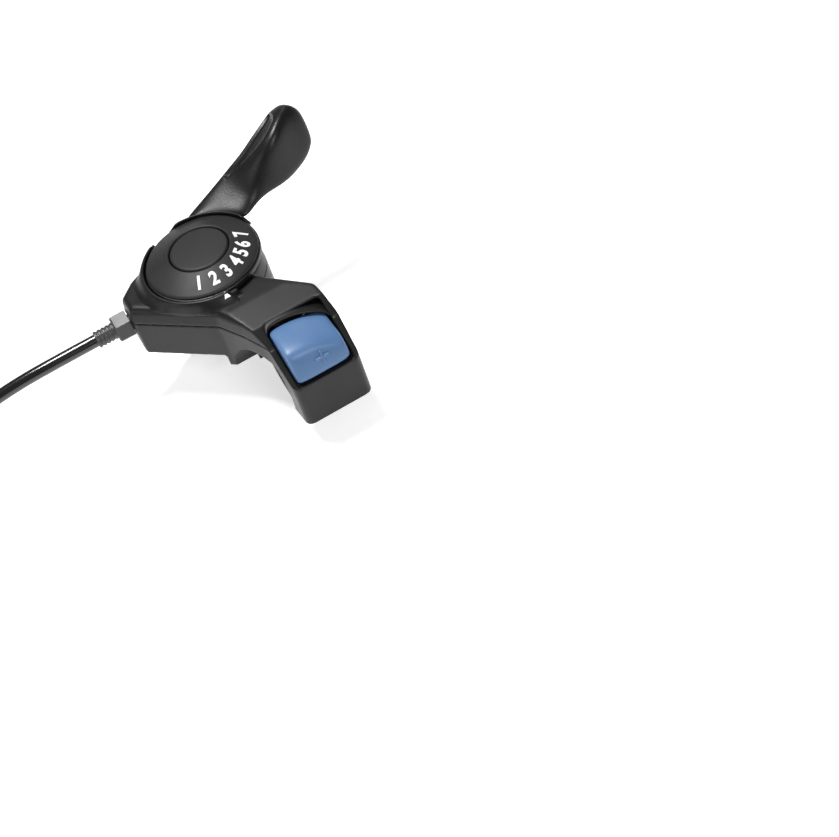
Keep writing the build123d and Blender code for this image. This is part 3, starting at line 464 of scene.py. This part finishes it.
# its section as (y, z), and each station's X with how far the section is drawn in there
BUTTON_Y, BUTTON_Z = -8.8, 15.0  # the point it is drawn in towards
BUTTON_FALL = 2.4  # how far the top falls towards the grip
button_outline = [(-18.1, 9.5), (-17.6, 12.0), (-16.7, 15.0), (-15.7, 17.4), (-14.3, 18.7),
                  (-12.0, 19.2), (-8.0, 19.35), (-4.0, 19.25), (-2.3, 18.9), (-1.4, 18.0),
                  (-1.3, 15.6), (-1.35, 13.9), (-4.0, 13.3), (-8.0, 12.4), (-11.2, 11.0),
                  (-13.0, 9.5), (-15.6, 9.4)]
button_stations = []
for x, shrink in ((-5.85, 1.5), (-5.7, 0.7), (-5.0, 0.15), (-2.0, 0.0), (2.8, 0.0), (7.2, 0.0),
                  (9.8, 0.15), (11.0, 0.75), (11.25, 1.6)):
    fall = BUTTON_FALL * ramp(x, 0.0, 12.0)
    ring = []
    for y, z in button_outline:
        pull = Vector((y - BUTTON_Y, z - BUTTON_Z)).normalized() * shrink
        ring.append((x, y - pull.x, z - pull.y - fall * ramp(z, 13.5, 18.5)))
    button_stations.append(ring)
button = piece("button_cap", to_mesh("button_cap", *loft(button_stations)), "button_blue", "button",
               replaced=["release_button"])
subdivide(button, 2)

# the brow of the pocket, which hangs over the button's front edge
# each station is its X, its rider edge, its underside and its thickness
brow = [(-6.7, -4.6, 19.1, 0.6), (-6.1, -3.3, 19.4, 0.8), (-5.2, -2.5, 19.6, 0.95),
        (-3.5, -2.05, 19.65, 1.0), (0.0, -1.95, 19.65, 1.0), (3.5, -2.4, 19.3, 1.0),
        (6.5, -3.1, 18.6, 1.0), (9.0, -4.1, 17.9, 1.0), (10.8, -5.2, 17.3, 1.0),
        (11.7, -6.4, 16.8, 0.9), (12.3, -7.8, 16.2, 0.7)]
BROW_ROOT = 0.4  # its far edge, inside the housing
brow_sections = [[(x, BROW_ROOT, low), (x, front + 0.3, low), (x, front, low + 0.15),
                  (x, front, low + 0.4 * thick), (x, front + 0.4, low + 0.85 * thick),
                  (x, front + 1.2, low + thick), (x, BROW_ROOT, low + thick + 0.1)]
                 for x, front, low, thick in brow]
subdivide(piece("pocket_brow", to_mesh("pocket_brow", *loft(brow_sections)), "housing_black", "housing"), 2)

# the raised plus on the button's rider face
PLUS_LENGTH, PLUS_WIDTH, PLUS_HEIGHT = 4.4, 0.85, 1.1
face_low, face_high = Vector((3.4, -17.65, 11.6)), Vector((3.4, -16.0, 16.9))
face_up = (face_high - face_low).normalized()
face_out = Vector((1, 0, 0)).cross(face_up).normalized()
plus_centre = face_low * 0.45 + face_high * 0.55 + face_out * 0.02


def bar(name, centre, along, width_dir, out, length, width, height):
    """A low rounded bar, in mm."""
    rings = []
    for share, size in ((-1, 0.55), (-0.93, 0.9), (-0.8, 1), (0, 1), (0.8, 1), (0.93, 0.9), (1, 0.55)):
        ring = []
        for a, b in ((-1, -1), (-1, 0.45), (-0.6, 1), (0.6, 1), (1, 0.45), (1, -1)):
            spot = centre + along * share * length / 2 + width_dir * a * size * width / 2
            ring.append(tuple(spot + out * b * size * height / 2))
        rings.append(ring)
    return to_mesh(name, *loft(rings))


sideways = Vector((1, 0, 0))
for name, along, width_dir in (("plus_bar", sideways, face_up), ("plus_post", face_up, sideways)):
    mark = bar(name, plus_centre, along, width_dir, face_out,
               PLUS_LENGTH, PLUS_WIDTH, PLUS_HEIGHT)
    subdivide(piece(name, mark, "button_blue", "button"), 2)

# ---- the rim round the dial, and the pointer on it ----------------------------------------

RIM_TOP, RIM_FOOT = 24.75, 22.3
# the share of its full spread that the rim's foot has, at each angle about the dial
rim_flare = [(121.4, 0.0), (141, 0.0), (150, 0.3), (163, 1.0), (188, 1.0), (205, 0.5),
             (215, 0.1), (227, 0.0), (240, 0.1), (252, 0.7), (262, 1.0), (279, 1.0)]
rim_sections = []
for (start, flare), (end, next_flare) in zip(rim_flare, rim_flare[1:]):
    steps = max(2, round((end - start) / 3))
    for step in range(steps):
        share = step / steps
        angle = start + (end - start) * share
        wide = flare + (next_flare - flare) * share
        ends = min(ramp(angle, 120.5, 125.0), 1 - ramp(angle, 270.0, 281.0))
        crest = RIM_FOOT + (RIM_TOP - RIM_FOOT) * ends
        profile = [(17.8, 21.5), (17.8, crest - 0.4), (18.05, crest), (18.75, crest - 0.05),
                   (19.2 + 0.5 * wide, crest - (crest - 21.8) * 0.35),
                   (19.45 + 1.6 * wide, 21.9 + 0.3 * wide), (19.6 + 3.0 * wide, 20.8 + 1.0 * wide),
                   (19.3 + 3.0 * wide, 20.0 + 1.0 * wide)]
        rim_sections.append([(*polar(radius, angle), z) for radius, z in profile])
subdivide(piece("dial_rim", to_mesh("dial_rim", *loft(rim_sections)), "housing_black", "housing"), 2)

POINTER_ANGLE = -91.8
tip = Vector((*polar(17.95, POINTER_ANGLE), RIM_TOP))
base = Vector((*polar(20.0, POINTER_ANGLE), RIM_TOP - 0.75))
half = Vector((0.95, 0.03, 0))  # half its base
pointer = [tip, base + half, base - half]
pointer_points = [(p.x, p.y, p.z - 0.15) for p in pointer] + [(p.x, p.y, p.z + 0.06) for p in pointer]
pointer_faces = [(0, 1, 2), (3, 5, 4), (0, 3, 4, 1), (1, 4, 5, 2), (2, 5, 3, 0)]
pointer_mesh = to_mesh("pointer", pointer_points, pointer_faces)
pointer_mesh.shade_flat()
piece("pointer", pointer_mesh, None, "housing", material=white_print)

# ---- the CAD pieces that stay: softened edges ---------------------------------------------

# the bevel on each, in mm
SOFTENED = {"clamp_band": 0.3, "adjuster_barrel": 0.15,
            "coil_ties": 0.2, "clamp_bolt": 0.2, "pivot_bolt": 0.2, "end_ferrule": 0.2}
for name, radius in SOFTENED.items():
    node = frame["nodes"][name]
    weld = node.modifiers.new("weld", "WELD")
    weld.merge_threshold = 0.000002
    flat = node.modifiers.new("flat", "DECIMATE")
    flat.decimate_type = "DISSOLVE"
    flat.angle_limit = radians(0.5)
    bevel = node.modifiers.new("bevel", "BEVEL")
    bevel.width = radius * MM
    bevel.segments = 3
    bevel.limit_method = "ANGLE"
    bevel.angle_limit = radians(35)
    bevel.use_clamp_overlap = True
    bevel.harden_normals = True

# the two housings are remeshed and smoothed all over, by this many passes
for name, passes in (("lower_housing", 10), ("upper_cover", 16)):
    node = frame["nodes"][name]
    cells = node.modifiers.new("cells", "REMESH")
    cells.mode = "VOXEL"
    cells.voxel_size = 0.3 * MM
    cells.use_smooth_shade = True
    soft = node.modifiers.new("soft", "SMOOTH")
    soft.factor = 0.5
    soft.iterations = passes

# ---- floor, lights and backdrop -----------------------------------------------------------

FLOOR = -13.4 * MM
floor_mesh = bpy.data.meshes.new("floor")
floor_corners = [(-2, -2, FLOOR), (2, -2, FLOOR), (2, 2, FLOOR), (-2, 2, FLOOR)]
floor_mesh.from_pydata(floor_corners, [], [(0, 1, 2, 3)])
floor = bpy.data.objects.new("floor", floor_mesh)
bpy.context.scene.collection.objects.link(floor)
pale = Nodes("pale_floor")
pale.mix(pale.noise(pale.place(), 8.0), "Fac", (0.86, 0.86, 0.86), (0.88, 0.88, 0.88))
pale.shader.inputs["Roughness"].default_value = 0.9
pale.shader.inputs["Emission Color"].default_value = (1, 1, 1, 1)
pale.shader.inputs["Emission Strength"].default_value = 0.6
floor_mesh.materials.append(pale.material)

world = bpy.data.worlds.new("studio")
world.use_nodes = True
world.node_tree.nodes["Background"].inputs["Color"].default_value = (1, 1, 1, 1)
world.node_tree.nodes["Background"].inputs["Strength"].default_value = 0.14
bpy.context.scene.world = world


def softbox(name, place, target, size, power):
    """A rectangular light in metres and watts, aimed at the target."""
    lamp = bpy.data.lights.new(name, "AREA")
    lamp.shape = "RECTANGLE"
    lamp.size, lamp.size_y = size
    lamp.energy = power
    holder = bpy.data.objects.new(name, lamp)
    holder.location = place
    aim = Vector(target) - Vector(place)
    holder.rotation_euler = aim.to_track_quat("-Z", "Y").to_euler()
    bpy.context.scene.collection.objects.link(holder)


softbox("overhead", (-0.08, 0.19, 0.60), (0, 0.02, 0.02), (0.20, 0.14), 4.6)
softbox("front", (0.12, -0.60, 0.50), (0, 0.0, 0.01), (0.26, 0.08), 2.0)
softbox("left", (-0.7, -0.1, 0.25), (0, 0.03, 0.02), (0.2, 0.4), 0.8)
softbox("rear", (0.35, 0.7, 0.55), (0, 0.03, 0.02), (0.25, 0.3), 0.5)

view_settings = bpy.context.scene.view_settings
view_settings.view_transform = "Standard"
